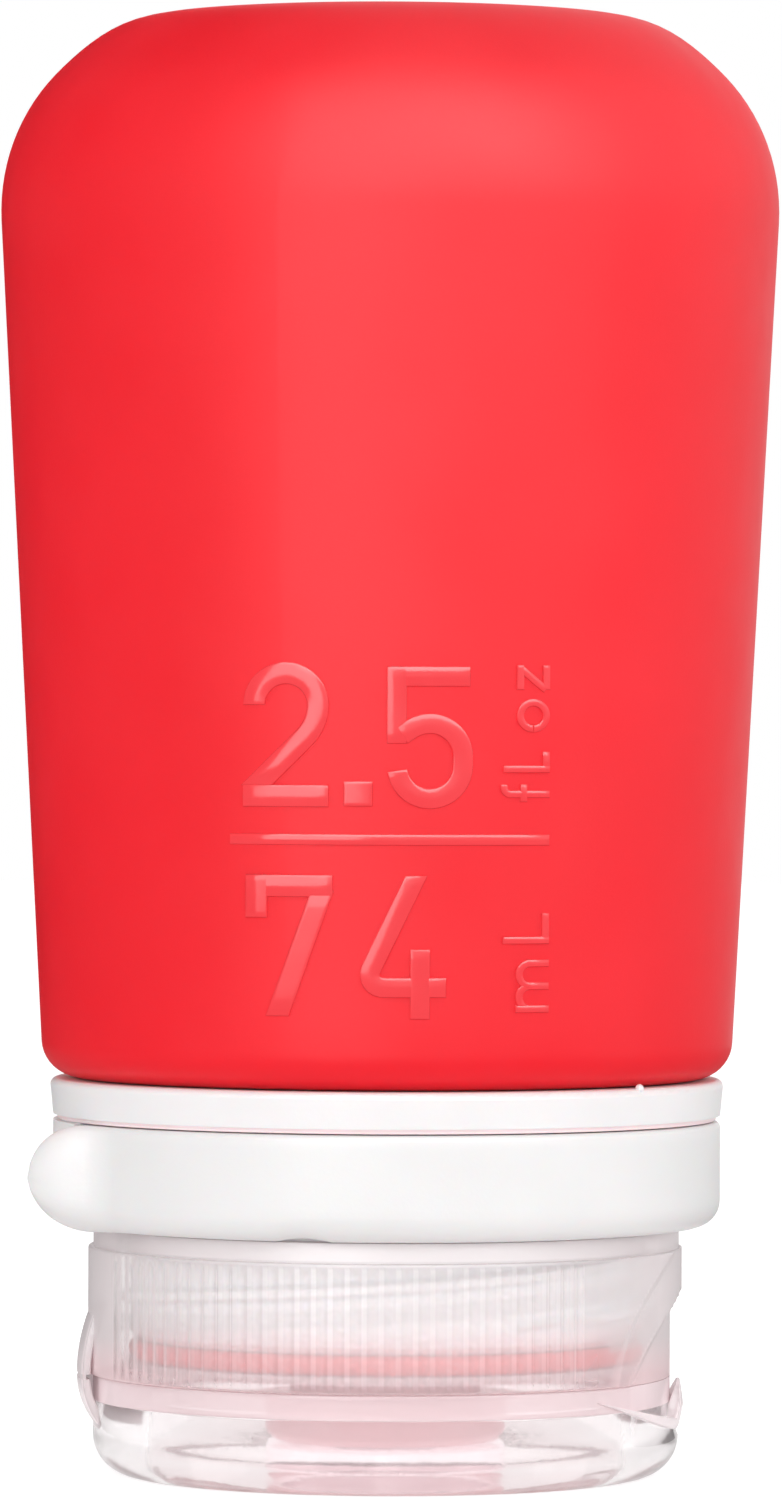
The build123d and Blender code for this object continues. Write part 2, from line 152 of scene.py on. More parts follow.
# %% Surround
scene.view_settings.view_transform = "Standard"
surround_level = 0.68
plain_white = 1.0
plain_rays = ("Is Camera Ray", "Is Transmission Ray")
world = bpy.data.worlds.new("surround")
scene.world = world
world.use_nodes = True
world.cycles.sampling_method = "NONE"
tree = world.node_tree
tree.nodes.clear()
background = tree.nodes.new("ShaderNodeBackground")
strength = level_by_ray(tree, surround_level, plain_white, *plain_rays)
set_inputs(tree, background, Color=(1, 1, 1), Strength=strength)
world_output = tree.nodes.new("ShaderNodeOutputWorld")
set_inputs(tree, world_output, Surface=background.outputs[0])
print("surround level:", surround_level)

# %% Softboxes


def softbox(name, place, size, power):
    """Square area lamp that faces the middle of the bottle and isn't seen in reflections."""
    lamp_data = bpy.data.lights.new(name, "AREA")
    lamp_data.shape = "SQUARE"
    lamp_data.size = size
    lamp_data.energy = power
    lamp = bpy.data.objects.new(name, lamp_data)
    scene.collection.objects.link(lamp)
    lamp.location = place
    lamp.rotation_mode = "QUATERNION"
    lamp.rotation_quaternion = (Vector(place) - Vector((0, 0, aim_height))).to_track_quat("Z", "Y")
    lamp.visible_glossy = False


softbox("key_softbox", (0.12, -0.80, 0.40), 0.7, 2.7)
softbox("front_fill", (0.03, -0.75, 0.05), 0.3, 1.1)
softbox("left_fill", (-0.70, -0.10, 0.15), 0.4, 1.1)
softbox("right_fill", (0.70, -0.05, 0.15), 0.4, 0.9)

# %% [markdown]
# ## Floor, cards and flags
# The floor glows a little, so that it is white and still keeps the bottle's shadow. What glossy
# surfaces mirror is set by cards, as a photographer would do it: a near white card in front makes the
# broad sheen of the silicone, which thins out towards the collar, one at the right lifts that edge,
# and a small one shines on the polished capacity mark. A black flag keeps the left edge deep, and
# grey flags on the floor keep its white out of the foot. Only reflections see cards and flags; clear
# plastic sees them as plain white.

# %% Floor that keeps the bottle's shadow


def new_finish(name, colour, roughness, **settings):
    """Material with a Principled shader whose plain values are set on its own sockets."""
    material = bpy.data.materials.new(name)
    material.use_nodes = True
    shader = material.node_tree.nodes["Principled BSDF"]
    set_inputs(material.node_tree, shader, Base_Color=colour, Roughness=roughness, **settings)
    return material, material.node_tree, shader


def glowing_finish(name, grey, level, level_seen, *rays):
    """Matt grey that glows, at one level for the named kinds of ray and at another for the others."""
    matt = {"Specular_IOR_Level": 0.0, "Emission_Color": (1, 1, 1)}
    finish, tree, shader = new_finish(name, (grey, grey, grey), 0.9, **matt)
    set_inputs(tree, shader, Emission_Strength=level_by_ray(tree, level, level_seen, *rays))
    return finish


def new_object(shape, name, material):
    """Object made of a shape and its material."""
    data = bpy.data.meshes.new(name)
    shape.to_mesh(data)
    shape.free()
    data.materials.append(material)
    made = bpy.data.objects.new(name, data)
    scene.collection.objects.link(made)
    return made


def stage_sheet(name, half_width, facing, place, material):
    """Flat square sheet of the studio that faces along a direction."""
    sheet = bmesh.new()
    bmesh.ops.create_grid(sheet, x_segments=1, y_segments=1, size=half_width)
    turn = Vector(facing).to_track_quat("Z", "Y").to_matrix()
    bmesh.ops.rotate(sheet, verts=sheet.verts, matrix=turn)
    bmesh.ops.translate(sheet, verts=sheet.verts, vec=place)
    stage_object = new_object(sheet, name, material)
    return stage_object


floor_grey = 0.45
floor_glow = 0.5
floor_glow_seen = 0.8
floor_white = glowing_finish("floor_white", floor_grey, floor_glow, floor_glow_seen, *plain_rays)
floor = stage_sheet("floor", 1.5, (0, 0, 1), (0, 0, 0), floor_white)
print("floor side in m:", round(floor.dimensions.x, 2))

# %% Cards and flags that only reflections see
card_grey = 0.01


def reflection_card(name, half_width, facing, place, level):
    """Card that shows in reflections: white at a high level, a grey or black flag at a low one."""
    finish = glowing_finish(name, card_grey, level, plain_white, "Is Transmission Ray")
    card = stage_sheet(name, half_width, facing, place, finish)
    card.visible_camera = False
    card.visible_diffuse = False
    card.visible_transmission = False
    card.visible_shadow = False


reflection_card("front_card", 0.32, (0, 1, 0), (0.09, -0.28, 0.41), 10.0)
reflection_card("right_card", 0.55, (-1, 0, 0), (0.66, -0.09, 0.55), 1.5)
reflection_card("mark_card", 0.11, (0.47, 0.88, 0), (-0.14, -0.264, 0.02), 6.0)
reflection_card("left_flag", 0.6, (1, 0, 0), (-0.10, 0.48, 0.35), 0.0)
floor_flags = {"left": (-0.33, 0, 0.0005), "right": (0.33, 0, 0.0005), "front": (0, -0.34, 0.0004)}
for side, place in floor_flags.items():
    reflection_card(f"{side}_floor_flag", 0.3, (0, 0, 1), place, 0.2)

# %% [markdown]
# ## Shared surface effects
# Moulded silicone and plastic are never perfectly even. Two small node groups carry what several
# finishes share: a fine grain, which is the blasted skin of the mould, and a slow cloudiness, which
# is the uneven thickness and haze of a moulded wall. They only put out values, so each finish
# decides how strongly it takes them.

# %% Groups: fine grain of a blasted mould, slow cloudiness of a moulded wall


def noise_group(name, size_name, size, detail, output, **more_inputs):
    """Group round a noise whose size is in millimetres; gives the group, its ends and the noise."""
    group = bpy.data.node_groups.new(name, "ShaderNodeTree")
    for socket, value in {size_name: size, **more_inputs}.items():
        made = group.interface.new_socket(socket, in_out="INPUT", socket_type="NodeSocketFloat")
        made.default_value = value
    group.interface.new_socket(output, in_out="OUTPUT", socket_type="NodeSocketFloat")
    into, out = group.nodes.new("NodeGroupInput"), group.nodes.new("NodeGroupOutput")
    where = group.nodes.new("ShaderNodeTexCoord").outputs["Object"]
    noise = group.nodes.new("ShaderNodeTexNoise")
    scale = add_math(group, "DIVIDE", 1 / mm, into.outputs[size_name])
    set_inputs(group, noise, Vector=where, Scale=scale, Detail=detail)
    return group, into, out, noise.outputs["Fac"]


mould_grain, into, out, noise = noise_group("mould_grain", "Grain Size mm", 0.12, 2.0, "Height")
set_inputs(mould_grain, out, Height=noise)

levels = {"Low": 0.0, "High": 1.0}
wall_cloud, into, out, noise = noise_group("wall_cloud", "Cloud Size mm", 9.0, 3.0, "Value", **levels)
spread = add_range(wall_cloud, noise, 0.3, 0.7, into.outputs["Low"], into.outputs["High"])
set_inputs(wall_cloud, out, Value=spread)
print("groups:", [g.name for g in bpy.data.node_groups])

# %% How a finish takes grain and cloudiness


def use_group(tree, group, **values):
    """Places a group in a material with this material's own values, and gives its output."""
    node = tree.nodes.new("ShaderNodeGroup")
    node.node_tree = group
    set_inputs(tree, node, **values)
    return node.outputs[0]


def add_grain(tree, shader, size, depth):
    """Fine grain as a bump on the whole finish; size and depth are millimetres."""
    bump = tree.nodes.new("ShaderNodeBump")
    height = use_group(tree, mould_grain, Grain_Size_mm=size)
    set_inputs(tree, bump, Strength=1.0, Distance=depth * mm, Height=height)
    set_inputs(tree, shader, Normal=bump.outputs["Normal"])


def add_uneven_gloss(tree, shader, size, low, high):
    """Roughness that drifts slowly between two values."""
    set_inputs(tree, shader, Roughness=use_group(tree, wall_cloud, Cloud_Size_mm=size, Low=low, High=high))


def add_two_tones(tree, shader, first, second, size):
    """Base colour that drifts between two near tones."""
    share = use_group(tree, wall_cloud, Cloud_Size_mm=size, Low=0.0, High=1.0)
    tones = add_mix(tree, share, first, second)
    set_inputs(tree, shader, Base_Color=tones)
    return tones


print("surface helpers:", [f.__name__ for f in (add_grain, add_uneven_gloss, add_two_tones)])

# %% [markdown]
# ## Finishes
# The body is pigmented silicone, frosted by its mould: light goes a little way into it, so its
# shadows stay red. The mark on its side is polished, so it mirrors its own card, and its base red is
# painted pinker than the body's, a painted sheen. Collar and arm are satin white. Cap and lid are
# uncoloured polypropylene, nearly clear but milky; the pink in their tints and near the silicone is
# painted red light from the silicone around them. The cap's thin wall is a see-through colour whose
# haze thickens in the ribs, at its edges and at its rim, and whose sides are painted darker at grazing
# angles, a painted shade; the thick lid is transparent, with the same painted shade at its wall. Its
# index is set below polypropylene's 1.49, which keeps its corners as pale as in the photograph.

# %% Red silicone, frosted and polished
frosted_red, tree, shader = new_finish(
    "frosted_red",
    (0.77, 0.006, 0.016),
    0.45,
    IOR=1.41,
    Specular_IOR_Level=0.3,
    Subsurface_Weight=0.35,
    Subsurface_Scale=1.2 * mm,
    Subsurface_Radius=(1.0, 0.12, 0.1),
)
add_two_tones(tree, shader, (0.75, 0.005, 0.014), (0.79, 0.007, 0.018), 14.0)
add_uneven_gloss(tree, shader, 6.0, 0.40, 0.48)
add_grain(tree, shader, 0.16, 0.006)

# The mark's base red is pinker than the body's: a painted sheen, beside the real reflection of its card.
polished_red_painted_sheen, tree, shader = new_finish("polished_red_painted_sheen", (0.80, 0.05, 0.06), 0.18, IOR=1.41)
add_two_tones(tree, shader, (0.79, 0.045, 0.055), (0.81, 0.055, 0.065), 6.0)
add_uneven_gloss(tree, shader, 3.0, 0.12, 0.2)
print("silicone finishes:", frosted_red.name, polished_red_painted_sheen.name)

# %% Satin white plastic


def satin_white(name, first, second):
    """Satin white moulded plastic in two near tones."""
    depth = {"Subsurface_Weight": 0.2, "Subsurface_Scale": 0.8 * mm}
    material, tree, shader = new_finish(name, first, 0.38, IOR=1.5, Specular_IOR_Level=0.3, **depth)
    add_two_tones(tree, shader, first, second, 8.0)
    add_uneven_gloss(tree, shader, 4.0, 0.34, 0.44)
    add_grain(tree, shader, 0.25, 0.006)
    return material


collar_white = satin_white("collar_white", (0.765, 0.75, 0.755), (0.785, 0.77, 0.775))
# Painted light: the sleeve's white is lighter than the flange's, for light that comes through the milky
# cap.
sleeve_white_painted_light = satin_white("sleeve_white_painted_light", (0.93, 0.915, 0.92), (0.95, 0.935, 0.94))
# Painted red light: the step's pink stands for red light from the silicone in the seam.
seam_painted_red_light = satin_white("seam_painted_red_light", (0.95, 0.72, 0.74), (0.96, 0.76, 0.78))
arm_white = satin_white("arm_white", (0.715, 0.712, 0.712), (0.735, 0.73, 0.73))
print("white finishes:", [m.name for m in (collar_white, sleeve_white_painted_light, seam_painted_red_light, arm_white)])

# %% Milky plastic; each pair of millimetres is where an effect starts and where it is full
outer_wall_at = (16.3, 16.8)
# The next two pairs place the painted red light: near the silicone's neck, and low in the cap.
painted_red_near_neck_at = (15.9, 15.0)
low_painted_red_at = (8.4, 6.6)
boss_at = (8.6, 7.6)
rim_at = (13.2, 13.6)
clear_index = 1.49
drift = 0.985


def axis_and_height(tree):
    """Distance of a point of the surface from the bottle's axis, and its height."""
    split = tree.nodes.new("ShaderNodeSeparateXYZ")
    set_inputs(tree, split, Vector=tree.nodes.new("ShaderNodeTexCoord").outputs["Object"])
    squared = [add_math(tree, "POWER", split.outputs[side], 2.0) for side in "XY"]
    return add_math(tree, "SQRT", add_math(tree, "ADD", *squared)), split.outputs["Z"]


def add_zone(tree, place, start_and_full, strength=1.0):
    """Value that grows from nothing to its strength between two places in millimetres."""
    start, full = start_and_full
    return add_range(tree, place, start * mm, full * mm, 0.0, strength)


def milky_plastic(name, tint, edge, painted_red_light, roughness, wall_haze, rib_haze):
    """Thin milky wall: its haze thickens at grazing angles and in ribs; painted shade darkens its outer
    wall at grazing angles, and painted red light tints it near the silicone.
    """
    material, tree, shader = new_finish(name, tint, roughness, IOR=clear_index)
    tones = add_two_tones(tree, shader, tint, tuple(c * drift for c in tint), 5.0)
    add_grain(tree, shader, 0.5, 0.004)
    from_axis, height = axis_and_height(tree)
    outer_wall = add_zone(tree, from_axis, outer_wall_at)
    # Painted red light from the silicone: the colour turns pink near the neck and low in the cap.
    low_painted_red = add_zone(tree, height, low_painted_red_at, 0.55)
    painted_red_share = add_math(tree, "MAXIMUM", add_zone(tree, from_axis, painted_red_near_neck_at), low_painted_red)
    facing = tree.nodes.new("ShaderNodeLayerWeight").outputs["Facing"]
    # Painted shade: on the outer wall the colour darkens towards the edge colour at grazing angles.
    grazing = add_math(tree, "MULTIPLY", add_range(tree, facing, 0.02, 0.45), outer_wall)
    painted_side_shade = add_mix(tree, grazing, tones, edge)
    thick = tree.nodes.new("ShaderNodeAttribute")
    thick.attribute_name = "rib"
    haze = add_range(tree, thick.outputs["Fac"], 0.0, 1.0, wall_haze, rib_haze)
    edge_haze = add_math(tree, "MULTIPLY", add_range(tree, facing, 0.3, 0.62, 0.0, 0.5), outer_wall)
    boss_haze = add_zone(tree, from_axis, boss_at, 0.4)
    rim_haze = add_zone(tree, height, rim_at, 0.35)
    more_haze = add_math(tree, "MAXIMUM", add_math(tree, "MAXIMUM", edge_haze, boss_haze), rim_haze)
    set_inputs(tree, shader, Base_Color=add_mix(tree, painted_red_share, painted_side_shade, painted_red_light))
    set_inputs(tree, shader, Alpha=add_math(tree, "ADD", haze, more_haze))
    return material


# Each row has a name, a tint, the painted shade of its edges and its painted red light, the roughness, and
# the haze of wall and ribs.
cap_clear, strap_milky, rim_milky_painted_red, thread_milky = (
    milky_plastic(*row)
    for row in (
        ("cap_clear", (0.995, 0.95, 0.96), (0.77, 0.70, 0.71), (0.98, 0.66, 0.69), 0.3, 0.29, 0.36),
        ("strap_milky", (0.97, 0.93, 0.94), (0.80, 0.73, 0.745), (0.93, 0.80, 0.82), 0.25, 0.55, 0.55),
        ("rim_milky_painted_red", (0.96, 0.82, 0.84), (0.82, 0.70, 0.72), (0.94, 0.74, 0.77), 0.2, 0.5, 0.5),
        ("thread_milky", (0.97, 0.93, 0.94), (0.95, 0.91, 0.92), (0.97, 0.90, 0.91), 0.3, 0.16, 0.16),
    )
)
print("milky finishes:", [m.name for m in (cap_clear, strap_milky, rim_milky_painted_red, thread_milky)])

# %% Transparent lid: painted red light in its faint pink tint, at its foot and under the spout, and painted shade at its wall's sides
lid_wall_at = (17.0, 17.1)
painted_red_foot_at = (2.2, 1.2)
painted_red_under_spout_at = (7.4, 7.1)
lid_tint = (0.995, 0.975, 0.98)
lid_clear, tree, shader = new_finish("lid_clear", lid_tint, 0.08, IOR=1.34, Transmission_Weight=0.92)
tones = add_two_tones(tree, shader, lid_tint, (0.985, 0.965, 0.97), 5.0)
add_uneven_gloss(tree, shader, 3.0, 0.06, 0.1)
add_grain(tree, shader, 0.5, 0.004)
from_axis, height = axis_and_height(tree)
facing = tree.nodes.new("ShaderNodeLayerWeight").outputs["Facing"]
at_wall = add_zone(tree, from_axis, lid_wall_at)
# Painted shade: the lid's wall darkens at grazing angles.
grazing = add_math(tree, "MULTIPLY", add_range(tree, facing, 0.3, 0.7), at_wall)
painted_side_shade = add_mix(tree, grazing, tones, (0.95, 0.91, 0.915))
# Painted red light from the silicone: the lid's foot turns pink.
outer = add_mix(tree, add_zone(tree, height, painted_red_foot_at), painted_side_shade, (0.97, 0.90, 0.905))
# Painted red light from the silicone's neck: pinker under the spout.
painted_red_under_spout = add_zone(tree, from_axis, painted_red_under_spout_at)
set_inputs(tree, shader, Base_Color=add_mix(tree, painted_red_under_spout, outer, (0.93, 0.74, 0.78)))
print("lid finish:", lid_clear.name)

# %% Inner parts and pin


def clear_plastic(name, tint, roughness, clarity):
    """Uncoloured, slightly milky plastic; a pink tint given to it is painted red light from the silicone.
    """
    material, tree, shader = new_finish(name, tint, roughness, IOR=clear_index, Transmission_Weight=clarity)
    add_two_tones(tree, shader, tint, tuple(c * drift for c in tint), 5.0)
    add_uneven_gloss(tree, shader, 3.0, roughness * 0.8, roughness * 1.25)
    add_grain(tree, shader, 0.5, 0.004)
    return material


# The pink tints of retainer and valve, and the faint one of the gasket, are painted red light from the
# silicone.
retainer_clear = clear_plastic("retainer_clear", (0.95, 0.87, 0.885), 0.25, 0.6)
valve_clear = clear_plastic("valve_clear", (0.93, 0.84, 0.855), 0.3, 0.55)
gasket_clear = clear_plastic("gasket_clear", (0.95, 0.92, 0.925), 0.3, 0.6)

pin_steel, tree, shader = new_finish("pin_steel", (0.62, 0.62, 0.64), 0.3, Metallic=1.0)
add_uneven_gloss(tree, shader, 1.0, 0.24, 0.36)
print("materials in all:", len(bpy.data.materials))

# %% [markdown]
# ## Turned and swept shapes
# Body, cap and lid are round, so each starts as a profile: a chain of edges in the plane of the
# axis. Bevelling a single vertex of the chain rounds that corner, long edges are divided so that the
# skin has even cells, and one spin sweeps the chain round the axis. The arm, the thumb lip, the strap
# and the threads are sections that are swept part of the way. Shapes are written in millimetres and
# scaled once, at the end.

# %% Profile, rounding and spin
weld_gap = 0.0005


def soften(shape, geometry, offset, segments, affect="VERTICES"):
    """Rounds vertices or edges by an offset."""
    how = {"offset_type": "OFFSET", "profile": 0.5, "material": -1}
    bmesh.ops.bevel(shape, geom=geometry, offset=offset, segments=segments, affect=affect, **how)


def round_corner(chain, corner, radius, segments):
    """Rounds a corner of the chain."""
    arms = [edge.other_vert(corner).co - corner.co for edge in corner.link_edges]
    soften(chain, [corner], radius / math.tan(arms[0].angle(arms[1]) / 2), segments)


def profile_chain(*points, closed=True):
    """Chain through points of radius and height; two more values round one: a radius and segments."""
    chain = bmesh.new()
    spots = [chain.verts.new((point[0], 0, point[1])) for point in points]
    for first, second in zip(spots, spots[1:]):
        chain.edges.new((first, second))
    if closed:
        chain.edges.new((spots[-1], spots[0]))
    for spot, (_, _, *rounding) in zip(spots, points):
        if rounding:
            round_corner(chain, spot, *rounding)
    return chain


def divide_long(chain, longest):
    """Divides the chain's long edges into even cells."""
    for edge in list(chain.edges):
        cuts = int(edge.calc_length() / longest)
        if cuts:
            bmesh.ops.subdivide_edges(chain, edges=[edge], cuts=cuts)


def turn_shape(shape, degrees, axis="Z", centre=(0, 0, 0)):
    """Turns the whole shape about an axis through a centre."""
    turn = Matrix.Rotation(math.radians(degrees), 3, axis)
    bmesh.ops.rotate(shape, verts=shape.verts, cent=centre, matrix=turn)


def spin_on(shape, turn, steps, section=None, centre=(0, 0, 0), axis=(0, 0, 1), **more):
    """Sweeps a section, or else the whole shape, about an axis and gives the new last section."""
    section = section or shape.verts[:] + shape.edges[:]
    around = {"cent": centre, "axis": axis, "angle": math.radians(turn), "steps": steps}
    return bmesh.ops.spin(shape, geom=section, **around, **more)["geom_last"]


def spin_round(chain, steps_each, sectors):
    """Sweeps the chain over one sector, repeats the sector round the axis, and welds the whole."""
    sector = 360 / sectors
    spin_on(chain, sector, steps_each)
    swept = chain.verts[:] + chain.edges[:] + chain.faces[:]
    spin_on(chain, sector * (sectors - 1), sectors - 1, swept, use_duplicate=True)
    bmesh.ops.remove_doubles(chain, verts=chain.verts, dist=weld_gap)
    bmesh.ops.recalc_face_normals(chain, faces=chain.faces)


def close_ends(shape, weld=False):
    """Caps the open ends of a swept section, and turns every face outwards."""
    bmesh.ops.holes_fill(shape, edges=[edge for edge in shape.edges if edge.is_boundary], sides=0)
    if weld:
        bmesh.ops.remove_doubles(shape, verts=shape.verts, dist=weld_gap)
    bmesh.ops.recalc_face_normals(shape, faces=shape.faces)


print("shape helpers:", [f.__name__ for f in (profile_chain, divide_long, spin_on, spin_round, close_ends)])

# %% Directions, new geometry and the finished piece


def unit(degrees):
    """Flat unit vector at an angle."""
    return Vector((math.cos(math.radians(degrees)), math.sin(math.radians(degrees)), 0))


def new_verts(geometry):
    """The vertices among the geometry that an operator gives back."""
    return [item for item in geometry if isinstance(item, bmesh.types.BMVert)]


def new_edges(geometry):
    """The edges among the geometry that an operator gives back."""
    return [item for item in geometry if isinstance(item, bmesh.types.BMEdge)]


def finish_piece(shape, name, body, material, stands_for=(), sharp_angle=32.0):
    bmesh.ops.scale(shape, verts=shape.verts, vec=(mm, mm, mm))
    for face in shape.faces:
        face.smooth = True
    piece = new_object(shape, name, material)
    piece.data.set_sharp_from_angle(angle=math.radians(sharp_angle))
    if body:
        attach(piece, body)
    if stands_for:
        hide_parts(*stands_for)
    sides = [round(side * 1000, 2) for side in piece.dimensions]
    print(name, "faces:", len(piece.data.polygons), "mm:", sides)
    return piece


# %% [markdown]
# ## Silicone body
# One moulded shell: a flared wall with a generous rounding at the closed end, a tight rounding above
# the collar, a neck that goes down through the collar and a folded lip that seals in the cap. The
# hollow is modelled too, because light enters the wall and the mouth can be seen when the cap is off.

# %% Body profile, outside and hollow
top = 85.55
shoulder = 23.35
body_radius_high = 23.47
body_radius_low = 20.2
dome_round = 11.47
neck_radius = 13.6
lip_radius = 15.1
lip_low = 6.85
lip_high = 8.0
bore_radius = 12.2
hollow_low = 25.15
hollow_high = 83.95
hollow_radius_low = 18.7
hollow_radius_high = 21.97
body = profile_chain(
    (0, top),
    (body_radius_high, top, dome_round, 28),
    (body_radius_low, shoulder, 2.2, 10),
    (neck_radius, shoulder, 0.4, 3),
    (neck_radius, lip_high),
    (lip_radius, lip_high, 0.5, 6),
    (lip_radius, lip_low, 0.5, 6),
    (bore_radius, lip_low, 0.2, 3),
    (bore_radius, hollow_low, 2.0, 8),
    (hollow_radius_low, hollow_low, 3.0, 8),
    (hollow_radius_high, hollow_high, 9.97, 20),
    (0, hollow_high),
    closed=False,
)
divide_long(body, 1.6)
print("profile points:", len(body.verts))

# %% Fuller crown: the dome's edge is a little squarer than a plain rounding
crown_middle = 15.6
crown_reach = 4.0
crown_rise = 0.3
crown_from = 80.0
outside_from = 11.0
dome_centre = (body_radius_high - dome_round, top - dome_round)
for vert in body.verts:
    off = abs(vert.co.x - crown_middle) / crown_reach
    outside = math.dist((vert.co.x, vert.co.z), dome_centre) > outside_from
    if off < 1 and vert.co.z > crown_from and outside:
        vert.co.z = min(vert.co.z + crown_rise * (1 - off**2) ** 2, top)
print("crown height:", round(max(vert.co.z for vert in body.verts), 2))

# %% Spin the body, and draw it in a hair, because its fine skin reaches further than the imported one
draw_in = 0.9993
spin_round(body, 15, 24)
bmesh.ops.scale(body, verts=body.verts, vec=(draw_in, draw_in, 1))
finish_piece(body, "squeeze_body", "bottle", frosted_red, ("bottle_body",))

# %% [markdown]
# ## Capacity mark
# The mould is polished where the capacity is written, so the numerals stand a hair above the
# frosted skin and are smooth. Each stroke is a ribbon: an edge as wide as the stroke is pushed
# along straight runs and spun round the bends. The flat mark is thickened, its rim is softened,
# and every vertex is then moved onto the flared wall of the body.

# %% Strokes from an edge
mark_depth = 0.42
mark_proud = 0.12
bend_step = 9
body_height = top - shoulder
stroke_layers = (0.0, 0.008, 0.016)
strokes_made = []
mark = bmesh.new()


def wall_radius(height):
    """Outside radius of the straight flared wall at a height."""
    share = (height - shoulder) / body_height
    return body_radius_low + (body_radius_high - body_radius_low) * share


def slide_to_level(verts, heading, level):
    """Slides a stroke's end along the stroke until it lies level, as a cut foot or head."""
    for vert in verts:
        vert.co += unit(heading) * (level - vert.co.y) / math.sin(math.radians(heading))


def pen_stroke(x, y, heading, moves, width, level_start=False, level_end=False):
    """One ribbon: each move is a straight length, or a radius with a turn to the left."""
    middle = Vector((x, y, stroke_layers[len(strokes_made) % len(stroke_layers)]))
    side = unit(heading + 90) * width / 2
    ends = [mark.verts.new(middle + side), mark.verts.new(middle - side)]
    edges = [mark.edges.new(ends)]
    if level_start:
        slide_to_level(ends, heading, y)
    for move in moves:
        if isinstance(move, tuple):
            radius, turn = move
            centre = middle + unit(heading + 90) * math.copysign(radius, turn)
            edges = new_edges(spin_on(mark, turn, max(3, int(abs(turn) / bend_step)), edges, centre))
            middle = centre + Matrix.Rotation(math.radians(turn), 3, "Z") @ (middle - centre)
            heading += turn
        else:
            grown = bmesh.ops.extrude_edge_only(mark, edges=edges)["geom"]
            edges = new_edges(grown)
            middle = middle + unit(heading) * move
            for vert in new_verts(grown):
                hand = math.copysign(width / 2, (vert.co - middle).dot(unit(heading + 90)))
                vert.co = middle + unit(heading + 90) * hand
    if level_end:
        slide_to_level(edges[0].verts, heading, middle.y)
    strokes_made.append((x, y))


print("wall radius at mid height:", round(wall_radius(50), 2))

# %% Numerals, point and divider, as strokes from the foot of each
wide = 1.24
narrow = 1.12
upper_row = 39.49
lower_row = 27.62
hook = ((1.81, -180), (2.6, -45), 3.85)
bowl = (0.6, (1.9, -35), (1.86, -90), 0.55, (1.86, -172))
slant_and_bar = (5.84, (0.75, 115.7), 3.55)
# A stroke is x, y, heading, moves and width, and then whether its start and its end are cut level.
two = ((0.62, 5.76, 90, hook, wide, False, True), (0, wide / 2, 0, (4.86,), wide))
point = ((0, 0, 0, (1.64,), 1.41),)
five = (
    (0, 7.4, 0, (4.69,), narrow),
    (narrow / 2, 7.96, 270, (4.35,), narrow),
    (0.85, 4.06, 35, bowl, narrow),
)
divider = ((0, 0, 0, (18.08,), 0.62),)
seven = (
    (0, 7.4, 0, (4.94,), wide),
    (wide / 2, 8.02, 270, (2.43,), wide),
    (4.34, 7.13, 250.5, (7.56,), wide, True, True),
)
four = ((3.64, 8.0, 244.3, slant_and_bar, narrow, True), (3.86, 3.84, 270, (3.96,), narrow))
for x, y, sign in (
    (-8.19, upper_row, two),
    (-2.49, 40.25, point),
    (-0.06, upper_row, five),
    (-8.93, 37.65, divider),
    (-8.02, lower_row, seven),
    (-2.0, lower_row, four),
):
    for across, up, *stroke in sign:
        pen_stroke(x + across, y + up, *stroke)
print("strokes of the numerals:", len(strokes_made))

# %% Unit letters, which read upwards: x runs along their line, and y stands on it
base_line = 9.15
tall = 2.65
low = 1.9
fine = 0.42
stem = fine / 2
ring = (low - fine) / 2
arch = 0.65
leg = low - arch - stem
letter_f = ((0.3, 0, 90, (2.2, (0.4, -90), 0.15)), (-0.15, low - fine, 0, (1.0,)))
letter_l = ((stem, tall, 270, (tall,)), (0, stem, 0, (1.2,)))
letter_o = ((stem, low / 2, 90, ((ring, -180), (ring, -180))),)
letter_z = ((0, low - stem, 0, (1.4,)), (1.2, low - 0.25, 230, (1.85,)), (0, stem, 0, (1.4,)))
arches = [(stem + 2 * arch * number, leg, 90, ((arch, -180), leg)) for number in range(2)]
letter_m = ((stem, 0, 90, (low,)), *arches)
wide_l = ((stem, tall, 270, (tall,)), (0, stem, 0, (1.75,)))
for start, letter in (
    (39.95, letter_f),
    (41.46, letter_l),
    (43.75, letter_o),
    (46.15, letter_z),
    (27.85, letter_m),
    (31.75, wide_l),
):
    for x, y, heading, moves in letter:
        pen_stroke(base_line - y, start + x, heading + 90, moves, fine)
print("strokes in all:", len(strokes_made))

# %% Thicken the mark and lay it on the wall
longest_flat = 1.3
rim_angle = 1.2
rim_round = 0.09
long_edges = [edge for edge in mark.edges if edge.calc_length() > longest_flat]
bmesh.ops.subdivide_edges(mark, edges=long_edges, cuts=6, use_grid_fill=True)
for face in mark.faces:
    face.normal_update()
    if face.normal.z < 0:
        face.normal_flip()
raised = bmesh.ops.extrude_face_region(mark, geom=mark.faces[:])["geom"]
bmesh.ops.translate(mark, verts=new_verts(raised), vec=(0, 0, mark_depth))
bmesh.ops.recalc_face_normals(mark, faces=mark.faces)
rim = [
    edge
    for edge in mark.edges
    if edge.calc_face_angle(0) > rim_angle and min(vert.co.z for vert in edge.verts) > mark_depth / 2
]
soften(mark, rim, rim_round, 2, "EDGES")
for vert in mark.verts:
    across, height, level = vert.co
    radius = wall_radius(height)
    turn = math.asin(across / radius)
    radius += level - mark_depth + mark_proud
    vert.co = (radius * math.sin(turn), -radius * math.cos(turn), height)
finish_piece(mark, "capacity_mark", "bottle", polished_red_painted_sheen, sharp_angle=40)

# %% [markdown]
# ## Loop arm
# The front half of the white band is an arm that swings out on a pin. Its left end flares away from
# the collar into a round tab for the finger. A rounded section is spun round the bottle, then spun
# the other way for the flare, then pushed straight on. Moving vertices does the rest: room for the
# collar's lug at the pin, a shallow relief in the lower edge, and the full round of the soft tab.

